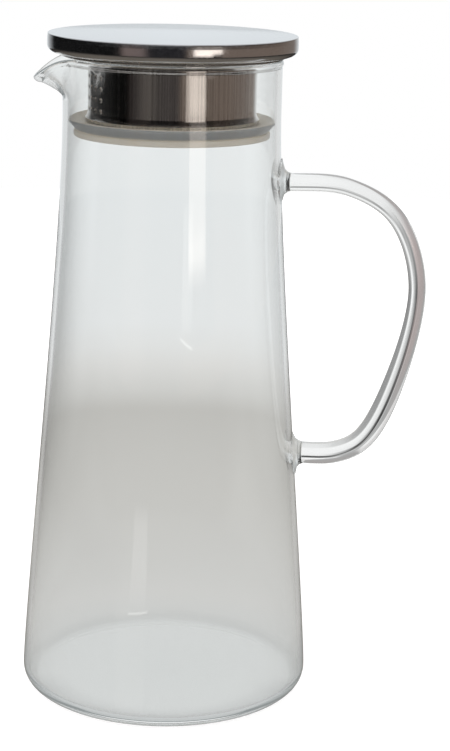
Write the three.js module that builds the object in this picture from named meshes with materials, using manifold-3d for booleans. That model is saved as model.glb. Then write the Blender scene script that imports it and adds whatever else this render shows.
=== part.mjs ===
// Glass carafe with a pulled spout, a welded glass handle and a lift-off steel lid.
// Millimetres, +Z up. The jug's axis is Z, its foot stands on Z = 0,
// the spout points to -X and the handle to +X.
import * as THREE from 'three';
import { mergeVertices } from 'three/addons/utils/BufferGeometryUtils.js';
import Module from 'manifold-3d';

const wasm = await Module();
wasm.setup();

// Glass jug
const rimHeight = 260.9;
const neckRadius = 43.35;
const neckLength = 20.9;
const neckPull = 50;
const footRadius = 59.35;
const footRound = 7.3;
const footLean = 1.9;
const footPull = 41;
const wall = 2;
const baseThickness = 3.5;
const floorRound = 4;
const rimBead = 0.3;

// Pouring spout, pulled out of the rim
const spoutReach = 11.8;
const spoutStartBelowRim = 16.5;
const spoutKneeBelowRim = 14;
const spoutTipBelowRim = 9.3;
const spoutHalfAngle = THREE.MathUtils.degToRad(28);
const spoutFullness = 0.74;
const spoutDroop = 1.42;

// Glass handle: its bent centre line, measured from its two roots on the jug
const handleTopBelowRim = 48.6;
const handleSpan = 113;
const topRun = 26.45;
const topSag = 1.6;
const crownReach = 46.55;
const crownDrop = 13.55;
const gripReach = 56.45;
const gripDrop = 41.5;
const waistReach = 38.5;
const waistRise = 24.9;
const heelReach = 27.9;
const heelRise = 5.8;
const bottomRun = 17.4;
const bottomRise = 0.55;

// Oval section of the handle's rod, thicker along its lower run, and its two flared feet
const rodThickness = 7;
const lowerRodThickness = 9;
const rodWidth = 9.4;
const weldFootHeight = 18.4;
const weldFlare = 4.2;

// Lid cap and its closing plate
const lidOverhang = 6.05;
const lidEdgeRound = 0.9;
const capDepth = 7.6;
const hemReach = 3.9;
const hemDrop = 2.9;
const hemLip = 0.8;
const sheet = 0.8;
const plateStandOff = 1.2;
const plateEdgeRound = 0.8;
const plateFlange = 1.8;

// Strainer collar and its holes
const channelWidth = 7.95;
const collarFlange = 5;
const collarDepth = 30.3;
const collarFootFlange = 2.2;
const beadProud = 1;
const beadHeight = 2.6;
const holeDiameter = 1.8;
const holeColumns = 11;
const holeRows = 4;
const holeColumnStep = THREE.MathUtils.degToRad(7.05);
const holeRowStep = 4.3;
const topHoleBelowPlate = 7.2;

// Silicone seal
const sealHeight = 7.7;
const sealLipThickness = 1.9;
const sealLipRise = 2;
const sealWaistInset = 2.55;
const sealWaistDrop = 4.2;
const sealLowerLip = 0.7;

// Clearances between neighbouring pieces
const seatGap = 0.3;
const weldGap = 0.3;
const crimpGap = 0.4;
const sealNeckGap = 0.3;
const sealCollarGap = 0.3;

// Facets around the turned pieces and steps along the curves
const jugFacets = 72;
const lidFacets = 48;
const rodFacets = 16;
const weldFacets = 24;
const holeFacets = 8;
const taperSteps = 10;
const neckSteps = 8;
const rodSteps = 40;
const roundSteps = 4;
const rimSteps = 7;

// Heights and radii that follow from the sizes above
const neckStart = rimHeight - neckLength;
const neckBore = neckRadius - wall;
const rimRound = (wall + rimBead) / 2;
const handleTop = rimHeight - handleTopBelowRim;
const handleBottom = handleTop - handleSpan;
const lidRadius = neckRadius + lidOverhang;
const plateBottom = rimHeight + seatGap;
const capBottom = plateBottom + plateStandOff;
const lidTop = capBottom + capDepth;
const capLipRadius = lidRadius - hemReach - hemLip;
const plateRadius = capLipRadius - crimpGap;
const collarRadius = neckBore - channelWidth;
const collarTop = plateBottom - weldGap;
const collarBottom = collarTop - collarDepth;
const collarFootTop = collarBottom + sheet;
const sealFloor = collarBottom - sealCollarGap;
const sealTop = sealFloor + sealHeight;
const sealShoulder = sealTop - sealLipRise;
const beadBottom = sealShoulder + sealCollarGap;

function point(radius, height) {
  return new THREE.Vector2(radius, height);
}

// Part of an ellipse in the radius-height plane, from one angle to another in degrees
function arc(centreRadius, centreHeight, reach, rise, fromAngle, toAngle, steps) {
  const from = THREE.MathUtils.degToRad(fromAngle);
  const to = THREE.MathUtils.degToRad(toAngle);
  const clockwise = toAngle < fromAngle;
  const curve = new THREE.EllipseCurve(centreRadius, centreHeight, reach, rise, from, to, clockwise);
  return curve.getPoints(steps);
}

// Turned piece with its vertices shared and its collapsed triangles on the axis left out
function turned(profile, facets) {
  const lathe = new THREE.LatheGeometry(profile, facets);
  lathe.rotateX(Math.PI / 2);
  return shared(lathe);
}

function shared(source) {
  const bare = source.clone();
  bare.deleteAttribute('normal');
  bare.deleteAttribute('uv');
  const merged = mergeVertices(bare, 1e-3);
  const corners = merged.index.array;
  const kept = [];
  for (let i = 0; i < corners.length; i += 3) {
    const [a, b, c] = [corners[i], corners[i + 1], corners[i + 2]];
    if (a !== b && b !== c && c !== a) kept.push(a, b, c);
  }
  merged.setIndex(kept);
  return merged;
}

function solid(geometry) {
  const vertProperties = new Float32Array(geometry.attributes.position.array);
  const triVerts = new Uint32Array(geometry.index.array);
  return new wasm.Manifold(new wasm.Mesh({ numProp: 3, vertProperties, triVerts }));
}

function geometryOf(body) {
  const mesh = body.getMesh();
  const geometry = new THREE.BufferGeometry();
  geometry.setAttribute('position', new THREE.BufferAttribute(mesh.vertProperties, 3));
  geometry.setIndex(new THREE.BufferAttribute(mesh.triVerts, 1));
  return geometry;
}

function piece(name, geometry, material) {
  geometry.computeVertexNormals();
  const mesh = new THREE.Mesh(geometry, material);
  mesh.name = name;
  return mesh;
}

// Outer face of the jug from the top of the foot to the start of the straight neck
const taper = new THREE.CubicBezierCurve(
  point(footRadius, footRound),
  point(footRadius - footLean, footRound + footPull),
  point(neckRadius, neckStart - neckPull),
  point(neckRadius, neckStart),
);

function taperPoints(offset, from) {
  const points = [];
  for (const p of taper.getPoints(taperSteps)) {
    if (p.y > from) points.push(point(p.x + offset, p.y));
  }
  return points;
}

function neckPoints(radius) {
  const top = rimHeight - rimRound;
  const points = [];
  for (let i = 1; i < neckSteps; i += 1) {
    points.push(point(radius, THREE.MathUtils.lerp(neckStart, top, i / neckSteps)));
  }
  return points;
}

// Outer radius of the jug at a height on its taper
function outerRadius(height) {
  let low = 0;
  let high = 1;
  for (let i = 0; i < 40; i += 1) {
    const middle = (low + high) / 2;
    if (taper.getPoint(middle).y < height) low = middle;
    else high = middle;
  }
  return taper.getPoint(low).x;
}

// Centre line of the spout's outer face, from the neck to the tip
const spoutLine = new THREE.QuadraticBezierCurve(
  point(neckRadius, rimHeight - spoutStartBelowRim),
  point(neckRadius, rimHeight - spoutKneeBelowRim),
  point(neckRadius + spoutReach, rimHeight - spoutTipBelowRim),
);

// Bends the wall above the spout's start outwards, most at the middle of the spout
function pullSpout(geometry) {
  const position = geometry.attributes.position;
  const start = rimHeight - spoutStartBelowRim;
  for (let i = 0; i < position.count; i += 1) {
    const [x, y, z] = [position.getX(i), position.getY(i), position.getZ(i)];
    const angle = Math.atan2(y, -x);
    if (z <= start || Math.abs(angle) >= spoutHalfAngle) continue;
    const share = Math.cos((Math.PI / 2) * (angle / spoutHalfAngle)) ** 2;
    const along = Math.min((z - start) / (rimHeight - start), 1);
    const radius = Math.hypot(x, y);
    const depth = neckRadius - radius;
    const middle = spoutLine.getPoint(along);
    const tangent = spoutLine.getTangent(along);
    const pulledRadius = THREE.MathUtils.lerp(radius, middle.x - depth * tangent.y, share ** spoutFullness);
    const pulledHeight = THREE.MathUtils.lerp(z, middle.y + depth * tangent.x, share ** spoutDroop);
    position.setXYZ(i, (x / radius) * pulledRadius, (y / radius) * pulledRadius, pulledHeight);
  }
  return geometry;
}

function glassBody() {
  const floorTop = baseThickness + floorRound;
  const rimCentre = neckBore + rimRound;
  const floorRadius = outerRadius(floorTop) - wall - floorRound;
  const profile = [
    point(0, 0),
    ...arc(footRadius - footRound, footRound, footRound, footRound, -90, 0, roundSteps).slice(0, -1),
    ...taperPoints(0, 0),
    ...neckPoints(neckRadius),
    ...arc(rimCentre, rimHeight - rimRound, rimRound, rimRound, -30, 180, rimSteps),
    ...neckPoints(neckBore).reverse(),
    ...taperPoints(-wall, floorTop).reverse(),
    ...arc(floorRadius, floorTop, floorRound, floorRound, 0, -90, roundSteps),
    point(0, baseThickness),
  ];
  return pullSpout(turned(profile, jugFacets));
}

// Everything inside the jug's outer face, with the weld's gap added
function jugEnvelope() {
  const profile = [point(0, footRound), ...taperPoints(weldGap, 0), point(0, neckStart)];
  return solid(turned(profile, jugFacets));
}

function handleLine() {
  const topRoot = outerRadius(handleTop);
  const bottomRoot = outerRadius(handleBottom);
  return new THREE.CatmullRomCurve3([
    new THREE.Vector3(topRoot - wall, 0, handleTop),
    new THREE.Vector3(topRoot + topRun, 0, handleTop - topSag),
    new THREE.Vector3(topRoot + crownReach, 0, handleTop - crownDrop),
    new THREE.Vector3(topRoot + gripReach, 0, handleTop - gripDrop),
    new THREE.Vector3(bottomRoot + waistReach, 0, handleBottom + waistRise),
    new THREE.Vector3(bottomRoot + heelReach, 0, handleBottom + heelRise),
    new THREE.Vector3(bottomRoot + bottomRun, 0, handleBottom + bottomRise),
    new THREE.Vector3(bottomRoot - wall, 0, handleBottom),
  ]);
}

// Grows the rod from its upper thickness to its lower one, over the second half of its length
function thickenRod(geometry, line) {
  const position = geometry.attributes.position;
  const centres = line.getSpacedPoints(rodSteps);
  for (let i = 0; i < position.count; i += 1) {
    const flat = new THREE.Vector3(position.getX(i), 0, position.getZ(i));
    const distances = centres.map((centre) => centre.distanceTo(flat));
    const nearest = distances.indexOf(Math.min(...distances));
    const share = THREE.MathUtils.smoothstep(nearest / rodSteps, 0.5, 0.9);
    const thickness = THREE.MathUtils.lerp(rodThickness, lowerRodThickness, share);
    const grown = centres[nearest].clone().lerp(flat, thickness / rodThickness);
    position.setXYZ(i, grown.x, position.getY(i), grown.z);
  }
  return geometry;
}

// Flared foot where the rod is welded to the jug, as a trumpet along +X
function weldFoot(height, thickness) {
  const footHalf = weldFootHeight / 2;
  const rodHalf = thickness / 2;
  const profile = [
    point(0, -wall),
    point(footHalf, -wall),
    ...arc(footHalf, weldFlare, footHalf - rodHalf, weldFlare, -90, -180, roundSteps),
    point(0, weldFlare),
  ];
  const foot = turned(profile, weldFacets);
  foot.rotateY(Math.PI / 2);
  foot.scale(1, rodWidth / thickness, 1);
  foot.translate(outerRadius(height), 0, height);
  return solid(foot);
}

function handle() {
  const section = new THREE.Shape();
  section.absellipse(0, 0, rodThickness / 2, rodWidth / 2, 0, Math.PI * 2);
  const line = handleLine();
  const options = { steps: rodSteps, curveSegments: rodFacets / 2, extrudePath: line };
  const rod = solid(thickenRod(shared(new THREE.ExtrudeGeometry(section, options)), line));
  const feet = weldFoot(handleTop, rodThickness).add(weldFoot(handleBottom, lowerRodThickness));
  return geometryOf(rod.add(feet).subtract(jugEnvelope()));
}

function lidCap() {
  const ceiling = lidTop - sheet;
  const hemTop = capBottom + hemDrop;
  const hemCentre = lidRadius - hemReach;
  const profile = [
    point(0, ceiling),
    point(lidRadius - sheet, ceiling),
    ...arc(hemCentre, hemTop, hemReach - sheet, hemDrop - sheet, 0, -90, roundSteps),
    point(capLipRadius, capBottom + sheet),
    point(capLipRadius, capBottom),
    ...arc(hemCentre, hemTop, hemReach, hemDrop, -90, 0, roundSteps),
    ...arc(lidRadius - lidEdgeRound, lidTop - lidEdgeRound, lidEdgeRound, lidEdgeRound, 0, 90, roundSteps),
    point(0, lidTop),
  ];
  return turned(profile, lidFacets);
}

// Closing plate: a shallow pan whose flange is crimped over the cap's lip
function lidUnderplate() {
  const flangeBottom = capBottom + sheet + crimpGap;
  const panRadius = plateRadius - sheet;
  const edge = plateBottom + plateEdgeRound;
  const profile = [
    point(0, plateBottom),
    ...arc(plateRadius - plateEdgeRound, edge, plateEdgeRound, plateEdgeRound, -90, 0, roundSteps),
    point(plateRadius, flangeBottom),
    point(plateRadius + plateFlange, flangeBottom),
    point(plateRadius + plateFlange, flangeBottom + sheet),
    point(panRadius, flangeBottom + sheet),
    point(panRadius, plateBottom + sheet),
    point(0, plateBottom + sheet),
  ];
  return turned(profile, lidFacets);
}

// Tube with an inward flange under the plate, a bead on the seal's shoulder and a foot flange below it
function strainerCollar() {
  const bore = collarRadius - sheet;
  const flangeBore = collarRadius - collarFlange;
  const footRim = collarRadius + collarFootFlange;
  const beadMiddle = beadBottom + beadHeight / 2;
  const profile = [
    point(bore, collarBottom),
    point(footRim, collarBottom),
    point(footRim, collarFootTop),
    point(collarRadius, collarFootTop),
    ...arc(collarRadius, beadMiddle, beadProud, beadHeight / 2, -90, 90, roundSteps),
    point(collarRadius, collarTop),
    point(flangeBore, collarTop),
    point(flangeBore, collarTop - sheet),
    point(bore, collarTop - sheet),
    point(bore, collarBottom),
  ];
  let tube = solid(turned(profile, lidFacets));
  for (let column = 0; column < holeColumns; column += 1) {
    for (let row = 0; row < holeRows; row += 1) {
      tube = tube.subtract(strainerHole(column, row));
    }
  }
  return geometryOf(tube);
}

// One round hole through the collar, centred on the spout's side
function strainerHole(column, row) {
  const turn = Math.PI + (column - (holeColumns - 1) / 2) * holeColumnStep;
  const height = plateBottom - topHoleBelowPlate - row * holeRowStep;
  const drill = new THREE.CylinderGeometry(holeDiameter / 2, holeDiameter / 2, 6 * sheet, holeFacets);
  drill.rotateZ(Math.PI / 2);
  drill.translate(collarRadius - sheet / 2, 0, height);
  drill.rotateZ(turn);
  return solid(shared(drill));
}

// Ring with a wide upper lip that wipes the neck and a smaller rounded lip below it
function sealRing() {
  const bore = collarRadius + sealCollarGap;
  const recess = collarRadius + collarFootFlange + sealCollarGap;
  const recessTop = collarFootTop + sealCollarGap;
  const shoulderEdge = collarRadius + beadProud + sealCollarGap;
  const lipRound = sealLipThickness / 2;
  const lipRadius = neckBore - sealNeckGap;
  const lipMiddle = sealTop - lipRound;
  const lowerHalf = (lipMiddle - sealWaistDrop - sealFloor) / 2;
  const profile = [
    point(recess, sealFloor),
    ...arc(lipRadius - sealWaistInset, sealFloor + lowerHalf, sealLowerLip, lowerHalf, -90, 90, rimSteps),
    ...arc(lipRadius - lipRound, lipMiddle, lipRound, lipRound, -40, 90, roundSteps),
    point(shoulderEdge, sealShoulder),
    point(bore, sealShoulder),
    point(bore, recessTop),
    point(recess, recessTop),
    point(recess, sealFloor),
  ];
  return turned(profile, lidFacets);
}

const clearGlass = new THREE.MeshStandardMaterial({ color: 0xdfe6e8, roughness: 0.03, metalness: 0 });
const handleGlass = new THREE.MeshStandardMaterial({ color: 0xdde3e4, roughness: 0.04, metalness: 0 });
const polishedSteel = new THREE.MeshStandardMaterial({ color: 0xc9c7c6, roughness: 0.16, metalness: 1 });
const plainSteel = new THREE.MeshStandardMaterial({ color: 0xb9b6b3, roughness: 0.35, metalness: 1 });
const brushedSteel = new THREE.MeshStandardMaterial({ color: 0xb0adab, roughness: 0.28, metalness: 1 });
const silicone = new THREE.MeshStandardMaterial({ color: 0xc9c5bd, roughness: 0.45, metalness: 0 });

const jug = new THREE.Group();
jug.add(piece('glass_body', glassBody(), clearGlass));
jug.add(piece('handle', handle(), handleGlass));

const lid = new THREE.Group();
lid.add(piece('lid_cap', lidCap(), polishedSteel));
lid.add(piece('lid_underplate', lidUnderplate(), plainSteel));
lid.add(piece('strainer_collar', strainerCollar(), brushedSteel));
lid.add(piece('seal_ring', sealRing(), silicone));

const carafe = new THREE.Group();
carafe.add(jug, lid);

export default carafe;
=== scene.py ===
import math

import bmesh
import bpy
from mathutils import Matrix, Vector
from mathutils.geometry import interpolate_bezier
from mathutils.kdtree import KDTree


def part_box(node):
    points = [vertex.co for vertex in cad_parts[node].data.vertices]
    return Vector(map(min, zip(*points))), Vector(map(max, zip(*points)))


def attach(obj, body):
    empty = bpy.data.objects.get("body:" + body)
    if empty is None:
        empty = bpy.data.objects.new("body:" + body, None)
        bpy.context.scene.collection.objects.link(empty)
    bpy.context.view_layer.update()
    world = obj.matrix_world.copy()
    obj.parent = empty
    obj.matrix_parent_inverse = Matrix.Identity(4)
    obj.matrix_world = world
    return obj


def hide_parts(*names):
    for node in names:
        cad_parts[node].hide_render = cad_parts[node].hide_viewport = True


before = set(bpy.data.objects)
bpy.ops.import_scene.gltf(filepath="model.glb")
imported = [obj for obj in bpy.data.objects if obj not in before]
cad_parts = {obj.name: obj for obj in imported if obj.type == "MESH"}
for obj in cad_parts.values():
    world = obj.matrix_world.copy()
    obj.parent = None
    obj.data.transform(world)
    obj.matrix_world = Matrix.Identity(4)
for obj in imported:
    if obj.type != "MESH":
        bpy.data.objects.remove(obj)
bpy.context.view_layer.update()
scene = bpy.context.scene
print("frame loaded")

# camera at the photograph's viewing angle
viewpoint = {
    "place": (0.0, -0.7993, 0.3360),
    "yaw": math.radians(1.67),  # turned to the right of the jug's axis
    "pitch": math.radians(14.336),  # looking down
    "roll": math.radians(1.283),
    "lens": 96.4,
    "sensor": 36.0,
}


def makeCamera(spec):
    data = bpy.data.cameras.new("camera")
    data.lens = spec["lens"]
    data.sensor_width = spec["sensor"]
    camera = bpy.data.objects.new("camera", data)
    scene.collection.objects.link(camera)
    turn = Matrix.Rotation(-spec["yaw"], 4, "Z")
    tilt = Matrix.Rotation(math.pi / 2 - spec["pitch"], 4, "X")
    roll = Matrix.Rotation(spec["roll"], 4, "Z")
    camera.matrix_world = Matrix.Translation(spec["place"]) @ turn @ tilt @ roll
    scene.camera = camera


makeCamera(viewpoint)
print("camera placed")


# mesh helpers

def startProfile(points):
    # an open line of points in the radius-height plane, ready to spin
    bm = bmesh.new()
    verts = [bm.verts.new((radius, 0, height)) for radius, height in points]
    for first, second in zip(verts, verts[1:]):
        bm.edges.new((first, second))
    return bm


def roundCorner(bm, radius, height, size, segments=6):
    # rounds the profile's corner nearest to this radius and height
    corner = min(bm.verts, key=lambda v: (v.co - Vector((radius, 0, height))).length)
    bmesh.ops.bevel(
        bm, geom=[corner], offset=size, offset_type="OFFSET", affect="VERTICES",
        segments=segments, profile=0.5, material=-1,
    )


def spinRound(bm, steps=180):
    bmesh.ops.spin(
        bm, geom=bm.verts[:] + bm.edges[:], cent=(0, 0, 0), axis=(0, 0, 1),
        angle=2 * math.pi, steps=steps, use_merge=True, use_duplicate=False,
    )
    closeUp(bm)


def closeUp(bm):
    bmesh.ops.remove_doubles(bm, verts=bm.verts[:], dist=1e-6)
    bmesh.ops.recalc_face_normals(bm, faces=bm.faces[:])


def shadeSmooth(bm, sharpAngle=math.radians(40)):
    for face in bm.faces:
        face.smooth = True
    for edge in bm.edges:
        edge.smooth = edge.calc_face_angle(0) < sharpAngle


def addObject(name, bm, *materials):
    mesh = bpy.data.meshes.new(name)
    bm.to_mesh(mesh)
    bm.free()
    thing = bpy.data.objects.new(name, mesh)
    scene.collection.objects.link(thing)
    for material in materials:
        mesh.materials.append(material)
    return thing


def finishPiece(name, bm, material, body, node):
    shadeSmooth(bm)
    piece = addObject(name, bm, material)
    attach(piece, body)
    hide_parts(node)
    print(name, len(piece.data.polygons), "faces")
    return piece


def part(value, low, high):
    # 0 at low, 1 at high
    return min(max((value - low) / (high - low), 0), 1)


def ease(share):
    return share * share * (3 - 2 * share)


# material helpers

def newMaterial(name):
    material = bpy.data.materials.new(name)
    material.use_nodes = True
    tree = material.node_tree
    return material, tree, tree.nodes["Principled BSDF"]


def stageMaterial(name):
    # a material without nodes, for what stands around the part
    material, tree, shader = newMaterial(name)
    tree.nodes.clear()
    return material, tree


def feed(tree, value, socket):
    # a number, a colour or another node's output goes into a socket
    if isinstance(value, tuple):
        socket.default_value = (*value, 1)
    elif isinstance(value, (int, float)):
        socket.default_value = value
    else:
        tree.links.new(value, socket)


def compute(tree, operation, *values):
    node = tree.nodes.new("ShaderNodeMath")
    node.operation = operation
    for value, socket in zip(values, node.inputs):
        feed(tree, value, socket)
    return node.outputs[0]


def blend(tree, factor, first, second, kind="MIX"):
    node = tree.nodes.new("ShaderNodeMix")
    node.data_type = "RGBA"
    node.blend_type = kind
    for label, value in (("Factor", factor), ("A", first), ("B", second)):
        feed(tree, value, node.inputs[label])
    return node.outputs["Result"]


def multiply(tree, first, second):
    return blend(tree, 1.0, first, second, "MULTIPLY")


def ramp(tree, value, stops):
    # colour or grey stops in the value's own units
    low, high = stops[0][0], stops[-1][0]
    node = tree.nodes.new("ShaderNodeValToRGB")
    band = node.color_ramp
    while len(band.elements) < len(stops):
        band.elements.new(0.5)
    for element, (place, colour) in zip(band.elements, stops):
        element.position = (place - low) / (high - low)
        element.color = (*colour, 1) if isinstance(colour, tuple) else (colour, colour, colour, 1)
    share = compute(tree, "DIVIDE", compute(tree, "SUBTRACT", value, low), high - low)
    feed(tree, share, node.inputs["Fac"])
    return node.outputs["Color"]


def degrees(tree, side, forward):
    return compute(tree, "DEGREES", compute(tree, "ARCTAN2", side, forward))


def between(tree, value, low, high, bottom=0.0, top=1.0):
    # bottom at low and before it, top at high and beyond it
    node = tree.nodes.new("ShaderNodeMapRange")
    for label, limit in (("From Min", low), ("From Max", high), ("To Min", bottom), ("To Max", top)):
        node.inputs[label].default_value = limit
    feed(tree, value, node.inputs["Value"])
    return node.outputs["Result"]


def axes(tree, vector):
    split = tree.nodes.new("ShaderNodeSeparateXYZ")
    feed(tree, vector, split.inputs[0])
    return split.outputs


def stretchedNoise(tree, stretch, scale, detail):
    # noise on the piece's own coordinates, stretched along an axis
    where = tree.nodes.new("ShaderNodeTexCoord")
    mapping = tree.nodes.new("ShaderNodeMapping")
    mapping.inputs["Scale"].default_value = stretch
    noise = tree.nodes.new("ShaderNodeTexNoise")
    noise.inputs["Scale"].default_value = scale
    noise.inputs["Detail"].default_value = detail
    feed(tree, where.outputs["Object"], mapping.inputs["Vector"])
    feed(tree, mapping.outputs["Vector"], noise.inputs["Vector"])
    return noise.outputs["Fac"]


def spread(tree, noise, low, high):
    # maps a noise's middle range to low .. high
    return between(tree, noise, 0.3, 0.7, low, high)


def addBump(tree, shader, height, strength, distance):
    bump = tree.nodes.new("ShaderNodeBump")
    bump.inputs["Strength"].default_value = strength
    bump.inputs["Distance"].default_value = distance
    feed(tree, height, bump.inputs["Height"])
    feed(tree, bump.outputs["Normal"], shader.inputs["Normal"])


glassTraits = {
    "ior": 1.47,
    "roughest": 0.012,
    "waveStretch": (1, 1, 0.35),
    "waveDetail": 2.0,
    "waveStrength": 0.15,
    "mostTurns": 14,  # reflections inside the glass before light leaves it
}


def clearGlass(name, spec):
    material, tree, shader = newMaterial(name)
    feed(tree, spec["tint"], shader.inputs["Base Color"])
    shader.inputs["Transmission Weight"].default_value = 1.0
    shader.inputs["IOR"].default_value = glassTraits["ior"]
    waves = stretchedNoise(tree, glassTraits["waveStretch"], spec["waveScale"], glassTraits["waveDetail"])
    feed(tree, spread(tree, waves, 0.0, glassTraits["roughest"]), shader.inputs["Roughness"])
    addBump(tree, shader, waves, glassTraits["waveStrength"], spec["waveDepth"])
    # light that has gone round inside the glass many times leaves it
    path = tree.nodes.new("ShaderNodeLightPath")
    stays = compute(tree, "LESS_THAN", path.outputs["Glossy Depth"], glassTraits["mostTurns"] + 0.5)
    feed(tree, stays, shader.inputs["Alpha"])
    return material


def fusedGlass():
    # the handle's ends, where its glass runs on into the jug
    material, tree, shader = newMaterial("weldGlass")
    clear = tree.nodes.new("ShaderNodeBsdfTransparent")
    feed(tree, clear.outputs[0], tree.nodes["Material Output"].inputs["Surface"])
    tree.nodes.remove(shader)
    return material


def steel(name, spec):
    material, tree, shader = newMaterial(name)
    shader.inputs["Metallic"].default_value = 1.0
    brushing = stretchedNoise(tree, spec["grain"], 1.0, 1.0)
    tone = blend(tree, spread(tree, brushing, 0.0, 1.0), spec["dark"], spec["light"])
    if "underside" in spec:
        # painted shade: the base colour turns dark where the sheet faces down
        facing = tree.nodes.new("ShaderNodeNewGeometry")
        upright = between(tree, axes(tree, facing.outputs["Normal"])["Z"], *spec["undersideShadeFacing"])
        tone = blend(tree, upright, spec["underside"], tone)
    feed(tree, tone, shader.inputs["Base Color"])
    feed(tree, spread(tree, brushing, *spec["roughness"]), shader.inputs["Roughness"])
    addBump(tree, shader, brushing, 1.0, spec["scratchDepth"])
    return material


# glass jug: rounded foot, straight taper, cylindrical neck, pulled spout
jug = {
    "rimHeight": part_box("glass_body")[1][2],
    "footRadius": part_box("glass_body")[1][1],
    "neckRadius": 0.04335,
    "neckLength": 0.0209,
    "neckPull": 0.050,
    "footRound": 0.0073,
    "footLean": 0.0019,
    "footPull": 0.041,
    "wall": 0.002,
    "base": 0.0035,
    "floorRound": 0.004,
    "beadHeight": 0.0030,
    "beadOut": 0.00045,
    "beadIn": 0.00015,
    "footRoundShare": 0.98,  # the rounding stops just short of the taper
    "floorGap": 0.0002,
    "tint": (0.985, 0.995, 0.993),
    "waveScale": 14,
    "waveDepth": 0.0006,
}
spout = {
    "reach": 0.0118,
    "startBelowRim": 0.0165,
    "kneeBelowRim": 0.014,
    "tipBelowRim": 0.0093,
    "halfAngle": math.radians(28),
    "fullness": 0.74,
    "droop": 1.42,
}


def jugTaper(count):
    # outer face from the top of the foot to the start of the neck
    neckStart = jug["rimHeight"] - jug["neckLength"]
    return [
        (p.x, p.z)
        for p in interpolate_bezier(
            (jug["footRadius"], 0, jug["footRound"]),
            (jug["footRadius"] - jug["footLean"], 0, jug["footRound"] + jug["footPull"]),
            (jug["neckRadius"], 0, neckStart - jug["neckPull"]),
            (jug["neckRadius"], 0, neckStart),
            count,
        )
    ]


def outerRadius(height):
    line = jugTaper(200)
    below = max((p for p in line if p[1] <= height), key=lambda p: p[1])
    above = min((p for p in line if p[1] > height), key=lambda p: p[1])
    share = (height - below[1]) / (above[1] - below[1])
    return below[0] + share * (above[0] - below[0])


def pullSpout(bm):
    rim, neck = jug["rimHeight"], jug["neckRadius"]
    start = rim - spout["startBelowRim"]
    root = Vector((neck, start))
    knee = Vector((neck, rim - spout["kneeBelowRim"]))
    tip = Vector((neck + spout["reach"], rim - spout["tipBelowRim"]))
    for vert in bm.verts:
        angle = math.atan2(vert.co.y, -vert.co.x)
        if vert.co.z <= start or abs(angle) >= spout["halfAngle"]:
            continue
        share = math.cos(math.pi / 2 * angle / spout["halfAngle"]) ** 2
        t = min((vert.co.z - start) / (rim - start), 1)
        middle = root * (1 - t) ** 2 + knee * 2 * t * (1 - t) + tip * t * t
        along = ((knee - root) * (1 - t) + (tip - knee) * t).normalized()
        radius = math.hypot(vert.co.x, vert.co.y)
        depth = neck - radius
        pulled = radius + share ** spout["fullness"] * (middle.x - depth * along.y - radius)
        vert.co.z += share ** spout["droop"] * (middle.y + depth * along.x - vert.co.z)
        vert.co.x *= pulled / radius
        vert.co.y *= pulled / radius


def rimLine(face, bulge):
    # one side of the thickened rim, from the plain wall up to the bulge
    foot = jug["rimHeight"] - jug["beadHeight"]
    rise = jug["beadHeight"] / 2
    line = []
    for i in range(9):
        line.append((face + bulge * ease(i / 8), foot + rise * i / 8))
    return line


def buildJug():
    rim, wall = jug["rimHeight"], jug["wall"]
    neckStart = rim - jug["neckLength"]
    bore = jug["neckRadius"] - wall
    taper = jugTaper(80)
    floorTop = max(jug["base"] + jug["floorRound"], jug["footRound"] + jug["floorGap"])
    neckTop = rim - jug["beadHeight"]
    neckHeights = [neckStart + (neckTop - neckStart) * i / 14 for i in range(1, 14)]
    outside = rimLine(jug["neckRadius"], jug["beadOut"])
    inside = rimLine(bore, -jug["beadIn"])
    crownMiddle = (outside[-1][0] + inside[-1][0]) / 2
    crownHalf = (outside[-1][0] - inside[-1][0]) / 2
    outline = [(0, 0), (jug["footRadius"], 0)]
    outline += taper[1:]
    outline += [(jug["neckRadius"], z) for z in neckHeights]
    outline += outside
    for i in range(1, 20):
        angle = math.pi * i / 20
        outline.append((
            crownMiddle + crownHalf * math.cos(angle),
            outside[-1][1] + jug["beadHeight"] / 2 * math.sin(angle),
        ))
    outline += reversed(inside)
    outline += [(bore, z) for z in reversed(neckHeights)]
    outline += [(r - wall, z) for r, z in reversed(taper) if z > floorTop]
    outline += [(outerRadius(floorTop) - wall, jug["base"]), (0, jug["base"])]
    bm = startProfile(outline)
    roundCorner(bm, jug["footRadius"], 0, jug["footRound"] * jug["footRoundShare"], 10)
    roundCorner(bm, outerRadius(floorTop) - wall, jug["base"], jug["floorRound"], 8)
    spinRound(bm)
    pullSpout(bm)
    finishPiece("glassJug", bm, clearGlass("jugGlass", jug), "carafe", "glass_body")


buildJug()


# handle: one bent rod of oval section that flares into two weld feet on the jug
handle = {
    "top": 0.2123,
    "span": 0.1130,
    "topRun": (0.02645, 0.0016),  # out from the upper root, down from the top
    "crown": (0.04655, 0.01355),
    "grip": (0.05645, 0.0415),
    "waist": (0.0385, 0.0249),  # out from the lower root, up from the bottom
    "heel": (0.0279, 0.0058),
    "bottomRun": (0.0174, 0.00055),
    "thickness": 0.0070,
    "lowerThickness": 0.0090,
    "width": 0.0094,
    "footHeight": 0.0184,
    "flare": 0.0042,
    "gap": 0.00003,
    "growth": (0.45, 0.80),  # share of the rod's length over which it grows thicker
    "sides": 40,
    "stations": 150,
    "tint": (0.98, 0.992, 0.99),
    "waveScale": 60,
    "waveDepth": 0.0002,
}


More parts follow.
